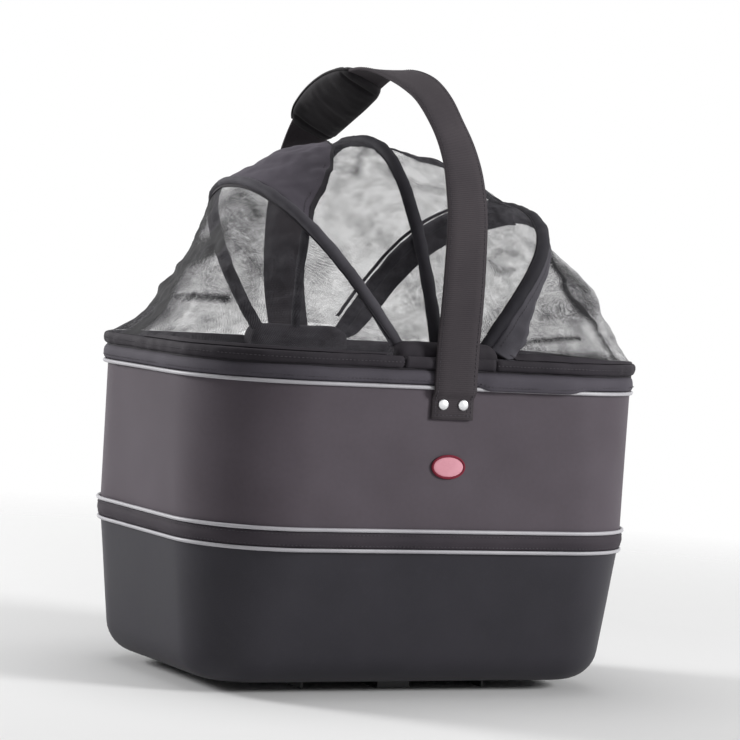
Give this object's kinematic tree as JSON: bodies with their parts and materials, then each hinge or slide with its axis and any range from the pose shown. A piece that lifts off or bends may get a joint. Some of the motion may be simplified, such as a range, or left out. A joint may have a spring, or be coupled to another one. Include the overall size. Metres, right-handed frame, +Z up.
{
  "type": "dog bicycle basket",
  "caption": "Front basket for a small dog with moulded tub, cloth wall, folding net hood on bows, webbing carry strap and quick-release handlebar adapter.",
  "frame": {"origin": "middle of the underside of the base bracket, on the face that the basket stands on", "axes": "+Z up, front wall towards -Y, handlebar side towards +Y, +X to the right seen from the front"},
  "size_m": [0.417, 0.3938, 0.5039],
  "materials": {
    "tub_foam": "satin moulded foam",
    "wall_cloth": "tight satin weave",
    "band_tape": "woven tape",
    "reflective": "reflective piping",
    "steel": "zinc plated",
    "black_steel": "black powder coat",
    "board": "matt",
    "cushion_cloth": "fleece",
    "plastic": "fine grain",
    "bow_sleeve": "woven sleeve",
    "netting": "fine open mesh",
    "hem_tape": "matt cloth",
    "webbing": "ribbed webbing",
    "padding": "padded cloth",
    "badge": "plain woven patch",
    "signal_plastic": "gloss"
  },
  "bodies": {
    "root": {"lower_tub": "tub_foam", "upper_wall": "wall_cloth", "waist_band": "band_tape", "waist_piping_lower": "reflective", "waist_piping_upper": "reflective", "rim_piping": "reflective", "rim_wire": "steel", "rim_binding": "band_tape", "floor_board": "board", "floor_cushion": "cushion_cloth", "rear_stiffener": "plastic", "rear_bracket": "plastic", "hook_plate": "plastic", "base_screw_1": "steel", "base_screw_2": "steel", "bracket_bolt_1": "steel", "bracket_bolt_2": "steel", "bracket_bolt_3": "steel", "bracket_bolt_4": "steel", "bracket_nut_1": "steel", "bracket_nut_2": "steel", "bracket_nut_3": "steel", "bracket_nut_4": "steel", "hub_plate_front": "black_steel", "hub_plate_rear": "black_steel", "hoop_centre": "bow_sleeve", "gore_left_inner": "netting", "gore_right_inner": "netting", "hem_front": "hem_tape", "hem_rear": "hem_tape", "strap_tab_front": "webbing", "strap_tab_rear": "webbing", "strap_rivet_1": "steel", "strap_rivet_2": "steel", "strap_rivet_3": "steel", "strap_rivet_4": "steel", "oval_patch": "badge"},
    "handle": {"carry_strap": "webbing", "grip_sleeve": "padding"},
    "hood_left": {"hoop_left": "bow_sleeve", "gore_left_end": "netting", "hem_left": "hem_tape"},
    "hood_right": {"hoop_right": "bow_sleeve", "gore_right_end": "netting", "hem_right": "hem_tape"},
    "zip_left": {"zip_slider_left": "steel"},
    "zip_left_tab": {"zip_pull_left": "steel"},
    "zip_right": {"zip_slider_right": "steel"},
    "zip_right_tab": {"zip_pull_right": "steel"},
    "adapter": {"adapter_body": "plastic", "clamp_cap_left": "plastic", "clamp_cap_right": "plastic", "clamp_bolt_1": "steel", "clamp_bolt_2": "steel", "clamp_bolt_3": "steel", "clamp_bolt_4": "steel", "button_spring": "steel"},
    "button": {"release_button": "signal_plastic"}
  },
  "joints": [
    {"name": "strap_swing", "type": "hinge", "parent": "root", "child": "handle", "pos_m": [0, 0, 0.27], "axis": [0, 1, 0], "range_deg": [-35, 35]},
    {"name": "hood_left_fold", "type": "hinge", "parent": "root", "child": "hood_left", "pos_m": [-0.039, 0, 0.276], "axis": [0, 1, 0], "range_deg": [0, 30], "deforming": ["gore_left_inner"]},
    {"name": "hood_right_fold", "type": "hinge", "parent": "root", "child": "hood_right", "pos_m": [0.031, 0, 0.276], "axis": [0, -1, 0], "range_deg": [0, 30], "deforming": ["gore_right_inner"]},
    {"name": "zip_left_slide", "type": "slide", "parent": "root", "child": "zip_left", "axis": [-1, 0, 0], "range_m": [0, 0.05]},
    {"name": "zip_left_pull", "type": "hinge", "parent": "zip_left", "child": "zip_left_tab", "pos_m": [-0.062, 0.1554, 0.26545], "axis": [1, 0, 0], "range_deg": [0, 150]},
    {"name": "zip_right_slide", "type": "slide", "parent": "root", "child": "zip_right", "axis": [1, 0, 0], "range_m": [0, 0.05]},
    {"name": "zip_right_pull", "type": "hinge", "parent": "zip_right", "child": "zip_right_tab", "pos_m": [0.062, 0.1554, 0.26545], "axis": [1, 0, 0], "range_deg": [0, 150]},
    {"name": "adapter_release", "type": "slide", "parent": "root", "child": "adapter", "axis": [0, 0, -1], "range_m": [0, 0.042]},
    {"name": "button_press", "type": "slide", "parent": "adapter", "child": "button", "axis": [0, 0, -1], "range_m": [0, 0.005], "stiffness_N_per_m": 300, "springref_m": -0.002, "deforming": ["button_spring"]}
  ]
}
